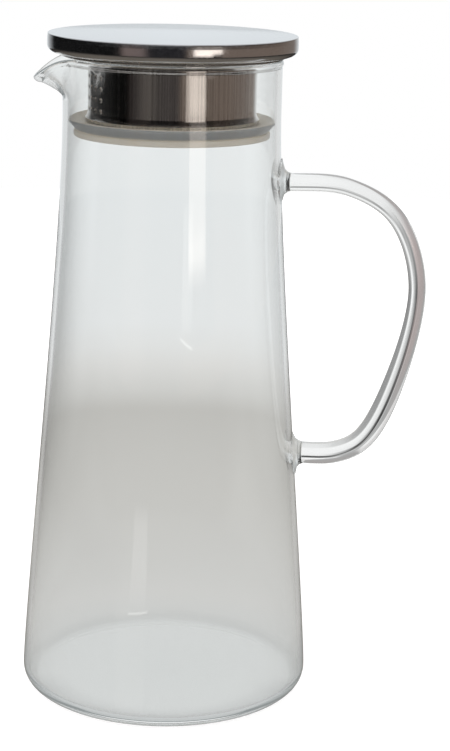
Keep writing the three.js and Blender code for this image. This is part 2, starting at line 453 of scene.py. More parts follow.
def handleRail():
    top, bottom = handle["top"], handle["top"] - handle["span"]
    topRoot, bottomRoot = outerRadius(top), outerRadius(bottom)
    knots = [
        (topRoot + handle["gap"], top),
        (topRoot + handle["topRun"][0], top - handle["topRun"][1]),
        (topRoot + handle["crown"][0], top - handle["crown"][1]),
        (topRoot + handle["grip"][0], top - handle["grip"][1]),
        (bottomRoot + handle["waist"][0], bottom + handle["waist"][1]),
        (bottomRoot + handle["heel"][0], bottom + handle["heel"][1]),
        (bottomRoot + handle["bottomRun"][0], bottom + handle["bottomRun"][1]),
        (bottomRoot + handle["gap"], bottom),
    ]
    knots = [Vector((x, 0, z)) for x, z in knots]
    ends = [2 * knots[0] - knots[1]] + knots + [2 * knots[-1] - knots[-2]]
    rail = []
    for before, first, second, after in zip(ends, ends[1:], ends[2:], ends[3:]):
        # centripetal spacing keeps the bend even between uneven knots
        lead = math.sqrt((first - before).length)
        span = math.sqrt((second - first).length)
        trail = math.sqrt((after - second).length)
        straight = (second - first) / span
        startPull = (first - before) / lead - (second - before) / (lead + span) + straight
        endPull = straight - (after - first) / (span + trail) + (after - second) / trail
        rail += interpolate_bezier(
            first, first + startPull * span / 3, second - endPull * span / 3, second, 60,
        )[:-1]
    return rail + [knots[-1]]


def evenly(points, count):
    # the same line as count evenly spaced points
    lengths = [0.0]
    for first, second in zip(points, points[1:]):
        lengths.append(lengths[-1] + (second - first).length)
    spaced, index = [], 0
    for i in range(count):
        want = lengths[-1] * i / (count - 1)
        while index < len(points) - 2 and lengths[index + 1] < want:
            index += 1
        share = (want - lengths[index]) / (lengths[index + 1] - lengths[index])
        spaced.append(points[index].lerp(points[index + 1], share))
    return spaced, lengths[-1]


def buildHandle():
    stations = handle["stations"]
    rail, length = evenly(handleRail(), stations)
    bm = bmesh.new()
    bmesh.ops.create_circle(bm, segments=handle["sides"], radius=1, cap_ends=False)
    bmesh.ops.spin(
        bm, geom=bm.verts[:] + bm.edges[:], axis=(0, 0, 1), dvec=(0, 0, 1),
        angle=0, steps=stations - 1, use_duplicate=False,
    )
    bmesh.ops.remove_doubles(bm, verts=bm.verts[:], dist=1e-4)
    ends = bmesh.ops.holes_fill(bm, edges=[e for e in bm.edges if e.is_boundary])
    for face in ends["faces"]:
        face.material_index = 1
    wide, foot, flare = handle["width"] / 2, handle["footHeight"] / 2, handle["flare"]
    for vert in bm.verts:
        index = min(round(vert.co.z), stations - 1)
        here = rail[index]
        along = (rail[min(index + 1, stations - 1)] - rail[max(index - 1, 0)]).normalized()
        across = Vector((0, 1, 0))
        inward = along.cross(across)
        fromWall = length * min(index, stations - 1 - index) / (stations - 1)
        grown = ease(part(index / (stations - 1), *handle["growth"]))
        half = (handle["thickness"] + grown * (handle["lowerThickness"] - handle["thickness"])) / 2
        swell = 0.0
        if fromWall < flare:
            swell = (foot - half) * (1 - math.sqrt(1 - ((flare - fromWall) / flare) ** 2))
        place = here + inward * vert.co.x * (half + swell) + across * vert.co.y * (wide + swell)
        if fromWall < flare:
            # the feet follow the round wall
            wallX = math.sqrt(outerRadius(place.z) ** 2 - place.y ** 2)
            rootX = outerRadius(here.z)
            place.x += (wallX - rootX) * (1 - fromWall / flare)
        vert.co = place
    closeUp(bm)
    glass = clearGlass("handleGlass", handle)
    piece = finishPiece("glassHandle", bm, glass, "carafe", "handle")
    piece.data.materials.append(fusedGlass())


buildHandle()


# lid cap: flat disc with a crisp top edge and a rolled-in lower edge
cap = {
    "radius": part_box("lid_cap")[1][0],
    "top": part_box("lid_cap")[1][2],
    "bottom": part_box("lid_cap")[0][2],
    "edgeRound": 0.0003,
    "lean": 0.00014,
    "leanSteps": [(0.0, 0.0021), (0.2, 0.0016), (0.6, 0.0011)],  # share of the lean, drop from the top
    "hemReach": 0.0039,
    "hemDrop": 0.0029,
    "hemLip": 0.0008,
    "sheet": 0.0008,
    "light": (0.82, 0.82, 0.83),
    "dark": (0.77, 0.77, 0.78),
    # painted shade for the faces that look down
    "underside": (0.30, 0.26, 0.23),
    "undersideShadeFacing": (-0.98, -0.80),  # upward share of the normal, from the painted shade to the plain steel
    "grain": (900, 900, 900),
    "roughness": (0.11, 0.16),
    "scratchDepth": 0.0000005,
}


def hemLine(inset):
    # quarter ellipse of the rolled lower edge, from the side to the underside
    line = []
    for i in range(13):
        angle = math.pi / 2 * i / 12
        line.append((
            cap["radius"] - cap["hemReach"] + (cap["hemReach"] - inset) * math.cos(angle),
            cap["bottom"] + cap["hemDrop"] - (cap["hemDrop"] - inset) * math.sin(angle),
        ))
    return line


def buildLidCap():
    sheet = cap["sheet"]
    lip = cap["radius"] - cap["hemReach"] - cap["hemLip"]
    outline = [(0, cap["top"] - sheet), (cap["radius"] - sheet, cap["top"] - sheet)]
    outline += hemLine(sheet)
    outline += [(lip, cap["bottom"] + sheet), (lip, cap["bottom"])]
    outline += reversed(hemLine(0))
    shoulder = cap["radius"] - cap["lean"]
    for share, drop in cap["leanSteps"]:
        outline.append((cap["radius"] - share * cap["lean"], cap["top"] - drop))
    outline += [(shoulder, cap["top"]), (0, cap["top"])]
    bm = startProfile(outline)
    roundCorner(bm, shoulder, cap["top"], cap["edgeRound"], 6)
    spinRound(bm)
    finishPiece("lidCap", bm, steel("capSteel", cap), "lid", "lid_cap")


buildLidCap()


# closing plate under the cap
plate = {
    "flangeRadius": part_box("lid_underplate")[1][0],
    "flangeTop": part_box("lid_underplate")[1][2],
    "bottom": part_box("lid_underplate")[0][2],
    "flange": 0.0018,
    "edgeRound": 0.0008,
    "sheet": 0.0008,
    "light": (0.70, 0.69, 0.68),
    "dark": (0.60, 0.59, 0.58),
    "grain": (700, 700, 700),
    "roughness": (0.18, 0.28),
    "scratchDepth": 0.000003,
}


def buildUnderplate():
    sheet = plate["sheet"]
    radius = plate["flangeRadius"] - plate["flange"]
    outline = [
        (0, plate["bottom"]),
        (radius, plate["bottom"]),
        (radius, plate["flangeTop"] - sheet),
        (plate["flangeRadius"], plate["flangeTop"] - sheet),
        (plate["flangeRadius"], plate["flangeTop"]),
        (radius - sheet, plate["flangeTop"]),
        (radius - sheet, plate["bottom"] + sheet),
        (0, plate["bottom"] + sheet),
    ]
    bm = startProfile(outline)
    roundCorner(bm, radius, plate["bottom"], plate["edgeRound"], 5)
    spinRound(bm)
    finishPiece("lidUnderplate", bm, steel("plateSteel", plate), "lid", "lid_underplate")


buildUnderplate()


# strainer collar: upright brushed tube with a patch of small holes towards the spout
collar = {
    "radius": 0.0334,
    "top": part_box("strainer_collar")[1][2],
    "bottom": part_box("strainer_collar")[0][2],
    "flange": 0.005,
    "footFlange": 0.0022,
    "bandBottom": 0.2363,
    "bandTop": 0.2389,
    "bandProud": 0.0011,
    "bandFlare": 0.0026,
    "flareDrop": 0.0014,  # the flare starts this far below the band's top
    "flareCurve": 0.8,
    "bandRound": 0.0003,
    "sheet": 0.0008,
    "holeDiameter": 0.0016,
    "holeEdge": 0.00028,
    "columns": 11,
    "rows": 4,
    "columnStep": math.radians(7.05),
    "rowStep": 0.0043,
    "topHole": 0.2540,
    "drillFace": 0.00005,  # how far the widened end stands out of the tube
    "drillSteps": 20,
    "sameWall": 0.00003,  # how near to the radius a point counts as on the outer wall
    "light": (0.90, 0.87, 0.85),
    "dark": (0.60, 0.575, 0.56),
    "grain": (1500, 1500, 5),
    "roughness": (0.09, 0.15),
    "scratchDepth": 0.000008,
}


def strainerDrills():
    # each drill is a pin that widens at the tube's face, for a soft hole edge
    bm = bmesh.new()
    hole, sheet = collar["holeDiameter"] / 2, collar["sheet"]
    wide = hole + collar["holeEdge"]
    for column in range(collar["columns"]):
        turn = math.pi + (column - (collar["columns"] - 1) / 2) * collar["columnStep"]
        for row in range(collar["rows"]):
            height = collar["topHole"] - row * collar["rowStep"]
            place = (
                Matrix.Rotation(turn, 4, "Z")
                @ Matrix.Translation((collar["radius"], 0, height))
                @ Matrix.Rotation(math.pi / 2, 4, "Y")
            )
            drill = startProfile([
                (0, -3 * sheet), (hole, -3 * sheet), (hole, -collar["holeEdge"]),
                (wide, collar["drillFace"]), (wide, 2 * sheet), (0, 2 * sheet),
            ])
            spinRound(drill, collar["drillSteps"])
            bmesh.ops.transform(drill, matrix=place, verts=drill.verts[:])
            pin = bpy.data.meshes.new("pin")
            drill.to_mesh(pin)
            drill.free()
            bm.from_mesh(pin)
            bpy.data.meshes.remove(pin)
    return addObject("drills", bm)


def smoothTube(mesh):
    # the tube's outer wall stays evenly round where the holes cut its faces
    normals = [Vector((0, 0, 0))] * len(mesh.loops)
    for face in mesh.polygons:
        points = [mesh.vertices[index].co for index in face.vertices]
        if all(abs(math.hypot(p.x, p.y) - collar["radius"]) < collar["sameWall"] for p in points):
            for loop in face.loop_indices:
                place = mesh.vertices[mesh.loops[loop].vertex_index].co
                normals[loop] = Vector((place.x, place.y, 0)).normalized()
    mesh.normals_split_custom_set(normals)


def buildCollar():
    sheet, radius = collar["sheet"], collar["radius"]
    foot = radius + collar["footFlange"]
    outline = [
        (radius - sheet, collar["bottom"]),
        (foot, collar["bottom"]),
        (foot, collar["bottom"] + sheet),
        (radius, collar["bottom"] + sheet),
    ]
    band = radius + collar["bandProud"]
    outline += [
        (radius, collar["bandBottom"]),
        (band, collar["bandBottom"]),
    ]
    for i in range(7):
        share = i / 6
        outline.append((
            band - collar["bandProud"] * math.sin(share * math.pi / 2) ** collar["flareCurve"],
            collar["bandTop"] - collar["flareDrop"] + collar["bandFlare"] * share,
        ))
    outline += [
        (radius, collar["top"]),
        (radius - collar["flange"], collar["top"]),
        (radius - collar["flange"], collar["top"] - sheet),
        (radius - sheet, collar["top"] - sheet),
        (radius - sheet, collar["bottom"]),
    ]
    bm = startProfile(outline)
    roundCorner(bm, band, collar["bandBottom"], collar["bandRound"], 3)
    spinRound(bm)
    tube = addObject("collarTube", bm)
    drills = strainerDrills()
    cut = tube.modifiers.new("holes", "BOOLEAN")
    cut.operation = "DIFFERENCE"
    cut.solver = "EXACT"
    cut.object = drills
    bpy.context.view_layer.update()
    drilled = tube.evaluated_get(bpy.context.evaluated_depsgraph_get())
    bm = bmesh.new()
    bm.from_mesh(drilled.to_mesh())
    for spare in (tube, drills):
        spareMesh = spare.data
        bpy.data.objects.remove(spare)
        bpy.data.meshes.remove(spareMesh)
    closeUp(bm)
    metal = steel("collarSteel", collar)
    piece = finishPiece("strainerCollar", bm, metal, "lid", "strainer_collar")
    smoothTube(piece.data)


buildCollar()


# silicone seal: rounded upper lip, slanting waist, narrow groove, upright lower band
seal = {
    "bore": 0.0337,
    "recess": 0.0359,
    "recessTop": 0.2317,
    "bottom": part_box("seal_ring")[0][2],
    "lipTop": 0.2372,
    "lipRadius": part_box("seal_ring")[1][0],
    "lipThickness": 0.0014,
    "shoulder": 0.2360,
    "shoulderEdge": 0.0347,
    "grooveRadius": 0.0383,
    "groove": 0.2329,
    "grooveFloor": 0.0001,  # below the groove's height, then up and out of it
    "grooveRise": 0.0002,
    "bandRadius": 0.0390,
    "bandTop": 0.2326,
    "bottomRound": 0.0005,
    "bandRound": 0.0004,
    "litTone": (1.0, 0.925, 0.80),  # painted light: the lower band and the upper face are painted lighter, as if more light falls on them
    # painted shade: the upper lip's front faces are painted dark, as if in shade
    "shadeTone": (0.42, 0.45, 0.47),
    "shadeFrom": (0.2322, 0.2336),
    "shadeFacing": (0.85, 0.35),  # upward share of the normal, from the painted light to the painted shade
    "mottle": (0.90, 0.89, 0.88),
    "mottleScale": 160,
    "mottleDetail": 3.0,
    "roughness": (0.32, 0.45),
    "bleed": 0.7,
    "bleedReach": (0.007, 0.0066, 0.006),
    "bumpStrength": 0.04,
    "bumpDepth": 0.0002,
}


def siliconeSkin():
    material, tree, shader = newMaterial("silicone")
    where = tree.nodes.new("ShaderNodeTexCoord")
    facing = tree.nodes.new("ShaderNodeNewGeometry")
    # painted light and shade: the upper faces and the lower band light, the upper lip's front faces dark
    above = between(tree, axes(tree, where.outputs["Object"])["Z"], *seal["shadeFrom"])
    outward = between(tree, axes(tree, facing.outputs["Normal"])["Z"], *seal["shadeFacing"])
    tone = blend(tree, compute(tree, "MULTIPLY", above, outward), seal["litTone"], seal["shadeTone"])
    mottle = stretchedNoise(tree, (1, 1, 1), seal["mottleScale"], seal["mottleDetail"])
    feed(tree, blend(tree, mottle, tone, seal["mottle"], "MULTIPLY"), shader.inputs["Base Color"])
    feed(tree, spread(tree, mottle, *seal["roughness"]), shader.inputs["Roughness"])
    shader.inputs["Subsurface Weight"].default_value = seal["bleed"]
    shader.inputs["Subsurface Radius"].default_value = seal["bleedReach"]
    shader.inputs["Subsurface Scale"].default_value = 1.0
    addBump(tree, shader, mottle, seal["bumpStrength"], seal["bumpDepth"])
    return material


def buildSeal():
    half = seal["lipThickness"] / 2
    lipMiddle = seal["lipTop"] - half
    outline = [
        (seal["recess"], seal["bottom"]),
        (seal["bandRadius"], seal["bottom"]),
        (seal["bandRadius"], seal["bandTop"]),
        (seal["grooveRadius"], seal["groove"] - seal["grooveFloor"]),
        (seal["grooveRadius"] + seal["grooveRise"], seal["groove"] + seal["grooveRise"]),
    ]
    for i in range(11):
        angle = math.radians(-45 + 13 * i)
        outline.append((
            seal["lipRadius"] - half + half * math.cos(angle),
            lipMiddle + half * math.sin(angle),
        ))
    outline += [
        (seal["shoulderEdge"], seal["shoulder"]),
        (seal["bore"], seal["shoulder"]),
        (seal["bore"], seal["recessTop"]),
        (seal["recess"], seal["recessTop"]),
        (seal["recess"], seal["bottom"]),
    ]
    bm = startProfile(outline)
    roundCorner(bm, seal["bandRadius"], seal["bottom"], seal["bottomRound"], 5)
    roundCorner(bm, seal["bandRadius"], seal["bandTop"], seal["bandRound"], 5)
    spinRound(bm)
    finishPiece("sealRing", bm, siliconeSkin(), "seal", "seal_ring")


buildSeal()
print("pieces built")


# studio: the camera sees a white floor, the glass shows a grey ground that fades to a pale backdrop,
# and the metal reflects a dim room with one tall softbox
studio = {
    "floorRadius": 1.3,
    "floorDrop": 0.0002,
    "stripLift": 0.0006,
    "paper": (0.3, 0.3, 0.3),  # what the camera sees of the floor, and its own glow near and far
    "paperGlow": (0.86, 1.0),
    "ground": [  # distance from the jug, colour through the glass
        (0.00, (0.61, 0.62, 0.615)), (0.06, (0.635, 0.64, 0.635)), (0.10, (0.67, 0.66, 0.645)),
        (0.25, (0.63, 0.615, 0.59)), (0.43, (0.59, 0.575, 0.55)), (0.477, (0.70, 0.69, 0.67)),
        (0.545, (0.81, 0.80, 0.785)), (0.60, (0.865, 0.865, 0.86)), (0.68, (0.90, 0.91, 0.915)),
        (1.30, (0.90, 0.92, 0.93)),
    ],
    "sideShade": [  # degrees off the line from the camera through the jug, share of what shines through
        (-90, 0.46), (-52, 0.50), (-38, 0.61), (-24, 0.67), (-17, 0.70), (-14, 0.75), (-11.5, 0.83),
        (-9, 0.93), (-6, 1), (6, 1), (10, 0.97), (14, 0.93), (19, 0.87), (25, 0.80), (40, 0.68),
        (55, 0.56), (90, 0.50),
    ],
    "edgeShade": [  # distance from the jug, share of the ground's colour inside one wall
        (0.00, (0.85, 0.88, 0.89)), (0.06, (0.95, 0.97, 0.98)), (0.11, 1.15), (0.34, 1.08),
        (0.50, 0.90), (0.68, 1.17), (1.30, 1.10),
    ],
    "edgeSide": [  # degrees off the line through the jug, share of that light
        (-90, 0.30), (-75, 0.15), (-48, 0.15), (-39, 0.48), (-31, 1), (30, 1), (38, 0.74),
        (55, 0.70), (90, 0.60),
    ],
    "roomFloor": [  # the same floor in reflections
        (0.00, (0.15, 0.134, 0.112)), (0.35, (0.132, 0.117, 0.10)), (0.80, (0.04, 0.036, 0.032)),
        (1.30, (0.012, 0.011, 0.010)),
    ],
    "roomWalls": [  # degrees from the camera's side towards the handle's
        (-180, (0.80, 0.845, 0.875)), (-166, (0.70, 0.73, 0.75)), (-140, 0.006), (-50, 0.003),
        (-44, (0.175, 0.135, 0.125)), (-28, (0.16, 0.125, 0.118)), (-21, (0.011, 0.010, 0.012)),
        (10, (0.010, 0.009, 0.012)), (16, (0.175, 0.135, 0.112)), (110, (0.165, 0.128, 0.106)),
        (145, (0.20, 0.17, 0.15)), (166, (0.70, 0.73, 0.75)), (180, (0.80, 0.845, 0.875)),
    ],
    "collarWalls": [  # the same walls where the collar mirrors them through the glass
        (-180, (0.80, 0.845, 0.875)), (-160, (0.70, 0.73, 0.75)), (-142, 0.006), (-62, 0.004),
        (-50, (0.03, 0.028, 0.027)), (-40, (0.085, 0.077, 0.071)), (-28, (0.10, 0.09, 0.082)),
        (-14, (0.072, 0.064, 0.061)), (7, (0.066, 0.058, 0.056)), (13, (0.175, 0.14, 0.118)),
        (110, (0.165, 0.132, 0.112)), (145, (0.20, 0.17, 0.15)), (160, (0.70, 0.73, 0.75)),
        (180, (0.80, 0.845, 0.875)),
    ],
    "zenith": (0.30, 0.30, 0.31),
    "ceiling": (0.60, 0.61, 0.63),  # over the camera, where only outer faces mirror it
    "edgeGlow": (0.86, 0.875, 0.88),  # what light caught inside one wall of glass sees
    "footGlow": (0.36, 0.385, 0.395),  # the same close under the foot
    "wornLight": (0.25, 0.275, 0.28),  # the same after many turns inside the glass, below and above
    "paleLight": (0.42, 0.45, 0.455),
    "footShade": (0.72, 0.72, 0.725),  # the ground just inside the foot's front edge
    "softGain": (1.78, 1.68, 1.62),  # extra light for the matt silicone
    "backdropLow": (0.90, 0.92, 0.93),
    "backdropHigh": (0.94, 0.955, 0.96),
    "insideJug": 2.5,  # glass faces that light has passed once it is inside the jug
    "wornFrom": 8.0,  # turns in the glass from which light is worn
    "caughtInJug": 0.7,  # share taken from caught light inside the jug
    "caughtShare": 0.85,
    "softShare": 0.9,
    "dimWalls": 0.85,
    "lidFront": 0.05,  # the lid's front, before the axis
}
# where each effect sets in and is complete, in metres or degrees
floorRanges = {
    "shade": (0.10, 0.70),
    "footEdge": (0.040, 0.056),
    "footFront": (-0.005, -0.02),
    "behind": (0.0, 0.10),
    "near": (0.45, 0.25),
    "beside": (50.0, 70.0),
    "offLine": (0.12, 0.40),
    "close": (0.30, 0.12),
    "glow": (0.08, 0.22),
    "paper": (0.25, 0.70),
}
worldRanges = {
    "front": (150.0, 120.0),
    "dim": (-1.0, 6.0),
    "zenith": (55.0, 80.0),
    "backdrop": (-11.0, -7.0),
    "beside": (60.0, 80.0),
    "lit": (30.0, 50.0),
    "ceiling": (6.0, 13.0),
    "back": (140.0, 160.0),
}
softbox = {
    "turn": math.radians(31),
    "away": 1.1,
    "width": 0.50,
    "bottom": 0.06,
    "top": 0.75,
    "colour": (1.0, 0.89, 0.805),
    "glow": 1.6,
    "fade": [  # height on the card, share of the glow
        (0.0, 0), (0.038, 0), (0.048, 0.6), (0.056, 1.4), (0.064, 1.5), (0.072, 1.15),
        (0.082, 1.05), (0.105, 0.90), (0.200, 0.91), (0.270, 0.08), (0.69, 0.03),
    ],
    "lowRight": (0.081, 0.088),  # the card's lower part ends at this side, up to this height
    "fadeInJug": [  # the same for what stands inside the jug
        (0.0, 0.15), (0.045, 0.50), (0.200, 0.50), (0.69, 0.03),
    ],
}
floorStrip = {
    "turn": math.radians(-20.5),
    "near": 0.295,
    "far": 0.66,
    "width": 0.122,
    "nearWidth": 0.066,
    "highest": 0.21,  # the lid above this height does not mirror it
    "colour": (1.0, 0.97, 0.95),
    "glow": 0.75,
    "fade": [(0.0, 0), (0.10, 0.9), (0.25, 1), (0.365, 0.6)],
}
floorDash = {
    "turn": math.radians(-19.7),
    "near": 0.2728,
    "far": 0.2778,
    "highest": 0.21,
    "width": 0.0695,
    "skew": math.radians(-11.3),
    "colour": (1.0, 0.98, 0.96),
    "glow": 2.4,
    "fade": [(0.0, 1), (0.005, 1)],
}
# light and dark strips behind the handle: millimetres off the rod's line (outside positive) and brightness,
# for stretches of the rod by the way their outer side faces, in degrees from straight up
handleCard = {
    "away": 0.07,
    "left": 0.015,
    "right": 0.30,
    "top": 0.40,
    "bottom": 0.001,
    "cells": (200, 230),
    "railPoints": 300,
    "tint": (1.10, 0.965, 0.945),  # the inner side turns pinkish
    "tintHeight": (0.125, 0.150),
    "tintFacing": (50, 70),
    "tintNear": (-3, -5),
    "tintFar": (-45, -25),
    "stretches": [
        (0, [(20, 0.95), (22, 0.35), (27, 0.35), (31, 1.0), (39, 1.0), (44, 0.85)]),
        (35, [(-33, 0.6), (-27, 0.85), (13, 0.9), (16, 0.35), (22, 0.35), (26, 1.0), (33, 1.0), (38, 0.6)]),
        (62, [(-20, 0.4), (-4, 0.65), (0, 0.35), (6, 0.5), (13, 0.35), (19, 1.0), (27, 1.0), (31, 0.5)]),
        (90, [(-6, 0.4), (-4, 0.1), (1, 0.15), (11, 0.7), (16, 1.1), (20, 1.1), (26, 0.3)]),
        (115, [(-14, 0.4), (-12, 0.75), (-10, 0.05), (-4, 0.05), (1, 0.8), (17, 1.0), (24, 0.35)]),
        (145, [(-22, 0.5), (-17, 0.95), (-14, 0.05), (-8, 0.05), (-5, 0.85), (17, 1.0), (25, 0.5)]),
        (180, [
            (-33, 0.75), (-24, 1.0), (-21, 1.0), (-19, 0.05), (-14, 0.05), (-11, 0.95),
            (17, 0.95), (23, 0.85),
        ]),
    ],
}
keyLamp = {"place": (-0.5, -0.5, 1.3), "size": 0.9, "power": 9.0}


def bounceCount(tree, path):
    return compute(tree, "ADD", path.outputs["Glossy Depth"], path.outputs["Diffuse Depth"])


def byLightPath(tree, plain, room, edgeLight, caughtLight, wornLight, roomThroughGlass):
    # straight light through the glass sees the plain ground, reflections and bounced light see the room,
    # except light that was caught inside one wall of glass or that came back through the jug
    path = tree.nodes.new("ShaderNodeLightPath")
    turns, faces = path.outputs["Glossy Depth"], path.outputs["Transmission Depth"]
    bounced = compute(tree, "GREATER_THAN", bounceCount(tree, path), 0.5)
    through = compute(tree, "GREATER_THAN", faces, 0.5)
    inside = compute(tree, "GREATER_THAN", faces, studio["insideJug"])
    throughGlass = blend(tree, inside, edgeLight, roomThroughGlass)
    # caught from the second turn on, or from the fourth inside the jug
    caught = compute(tree, "GREATER_THAN", turns, compute(tree, "MULTIPLY_ADD", inside, 2.0, 1.5))
    worn = between(tree, turns, studio["wornFrom"], glassTraits["mostTurns"])
    caughtLight = blend(tree, worn, caughtLight, wornLight)
    dimmed = compute(tree, "MULTIPLY", inside, studio["caughtInJug"])
    caughtLight = blend(tree, dimmed, caughtLight, (0, 0, 0))
    caught = compute(tree, "MULTIPLY", caught, studio["caughtShare"])
    throughGlass = blend(tree, caught, throughGlass, caughtLight)
    mirrored = blend(tree, through, room, throughGlass)
    soft = compute(tree, "GREATER_THAN", path.outputs["Diffuse Depth"], 0.5)
    bright = multiply(tree, plain, studio["softGain"])
    mirrored = blend(tree, compute(tree, "MULTIPLY", soft, studio["softShare"]), mirrored, bright)
    return path, blend(tree, bounced, plain, mirrored)


def chooseShader(tree, when, otherwise, chosen):
    choose = tree.nodes.new("ShaderNodeMixShader")
    output = tree.nodes.new("ShaderNodeOutputMaterial")
    feed(tree, when, choose.inputs["Fac"])
    feed(tree, otherwise.outputs[0], choose.inputs[1])
    feed(tree, chosen.outputs[0], choose.inputs[2])
    feed(tree, choose.outputs[0], output.inputs["Surface"])


def makeFloor():
    spans = floorRanges
    white = (1, 1, 1)
    bm = bmesh.new()
    bmesh.ops.create_circle(bm, cap_ends=True, segments=96, radius=studio["floorRadius"])
    material, tree = stageMaterial("floorPaper")
    floor = addObject("floor", bm, material)
    floor.location.z = -studio["floorDrop"]
    where = tree.nodes.new("ShaderNodeTexCoord").outputs["Object"]
    split = axes(tree, where)
    side, back = split["X"], split["Y"]
    length = tree.nodes.new("ShaderNodeVectorMath")
    length.operation = "LENGTH"
    feed(tree, where, length.inputs[0])
    reach = length.outputs["Value"]
    aside = degrees(tree, side, compute(tree, "ABSOLUTE", back))
    shade = between(tree, reach, *spans["shade"])
    shade = blend(tree, shade, white, ramp(tree, aside, studio["sideShade"]))
    evenGround = ramp(tree, reach, studio["ground"])
    ground = multiply(tree, evenGround, shade)
    footEdge = between(tree, reach, *spans["footEdge"])
    footEdge = compute(tree, "MULTIPLY", footEdge, between(tree, back, *spans["footFront"]))
    ground = multiply(tree, ground, blend(tree, footEdge, white, studio["footShade"]))
    front = ramp(tree, reach, studio["roomFloor"])
    behind = between(tree, back, *spans["behind"])
    near = between(tree, reach, *spans["near"])
    beside = between(tree, compute(tree, "ABSOLUTE", aside), *spans["beside"])
    lit = compute(tree, "MAXIMUM", behind, compute(tree, "MAXIMUM", near, beside))
    wallGround = multiply(tree, evenGround, ramp(tree, reach, studio["edgeShade"]))
    offLine = between(tree, reach, *spans["offLine"])
    offLine = blend(tree, offLine, white, ramp(tree, aside, studio["edgeSide"]))
    edgeLight = blend(tree, lit, front, multiply(tree, wallGround, offLine))
    close = between(tree, reach, *spans["close"])
    roomThroughGlass = blend(tree, compute(tree, "MAXIMUM", behind, close), front, ground)
    caughtLight = blend(tree, between(tree, reach, *spans["glow"]), studio["footGlow"], studio["edgeGlow"])
    path, colour = byLightPath(
        tree, ground, front, edgeLight, caughtLight, studio["wornLight"], roomThroughGlass,
    )
    glow = tree.nodes.new("ShaderNodeEmission")
    feed(tree, colour, glow.inputs["Color"])
    paper = tree.nodes.new("ShaderNodeBsdfDiffuse")
    feed(tree, studio["paper"], paper.inputs["Color"])
    bright = tree.nodes.new("ShaderNodeEmission")
    far = between(tree, reach, *spans["paper"], *studio["paperGlow"])
    feed(tree, far, bright.inputs["Strength"])
    paperLight = tree.nodes.new("ShaderNodeAddShader")
    feed(tree, paper.outputs[0], paperLight.inputs[0])
    feed(tree, bright.outputs[0], paperLight.inputs[1])
    chooseShader(tree, path.outputs["Is Camera Ray"], glow, paperLight)


def makeWorld():
    spans = worldRanges
    world = bpy.data.worlds.new("studio")
    scene.world = world
    world.use_nodes = True
    tree = world.node_tree
    tree.nodes.clear()
    split = axes(tree, tree.nodes.new("ShaderNodeTexCoord").outputs["Generated"])
    side, back, up = split["X"], split["Y"], split["Z"]
    rise = compute(tree, "DEGREES", compute(tree, "ARCSINE", up))
    turn = degrees(tree, side, compute(tree, "MULTIPLY", back, -1.0))
    fromFront = compute(tree, "ABSOLUTE", turn)
    faces = tree.nodes.new("ShaderNodeLightPath").outputs["Transmission Depth"]
    inJug = compute(tree, "GREATER_THAN", faces, studio["insideJug"])
    openWalls = ramp(tree, turn, studio["roomWalls"])
    walls = blend(tree, inJug, openWalls, ramp(tree, turn, studio["collarWalls"]))
    # the front walls are dim above the lid's height
    facing = between(tree, fromFront, *spans["front"])
    high = compute(tree, "MULTIPLY", between(tree, rise, *spans["dim"]), facing)
    walls = blend(tree, compute(tree, "MULTIPLY", high, studio["dimWalls"]), walls, (0, 0, 0))
    room = blend(tree, between(tree, rise, *spans["zenith"]), walls, studio["zenith"])
    aside = degrees(tree, side, compute(tree, "ABSOLUTE", back))
    low = between(tree, rise, *spans["backdrop"])
    backdrop = blend(tree, low, studio["backdropLow"], studio["backdropHigh"])
    plain = multiply(tree, backdrop, ramp(tree, aside, studio["sideShade"]))
    beside = between(tree, fromFront, *spans["beside"])
    lit = compute(tree, "MAXIMUM", beside, between(tree, rise, *spans["lit"]))
    glow = multiply(tree, ramp(tree, aside, studio["edgeSide"]), studio["edgeGlow"])
    edgeLight = blend(tree, lit, room, glow)
    overhead = compute(tree, "MULTIPLY", facing, between(tree, rise, *spans["ceiling"]))
    openRoom = blend(tree, overhead, room, studio["ceiling"])
    roomThroughGlass = blend(tree, between(tree, fromFront, *spans["back"]), room, plain)
    path, colour = byLightPath(
        tree, plain, openRoom, edgeLight, studio["edgeGlow"], studio["paleLight"], roomThroughGlass,
    )
    seen = blend(tree, path.outputs["Is Camera Ray"], colour, (1, 1, 1))
    background = tree.nodes.new("ShaderNodeBackground")
    feed(tree, seen, background.inputs["Color"])
    output = tree.nodes.new("ShaderNodeOutputWorld")
    feed(tree, background.outputs[0], output.inputs["Surface"])


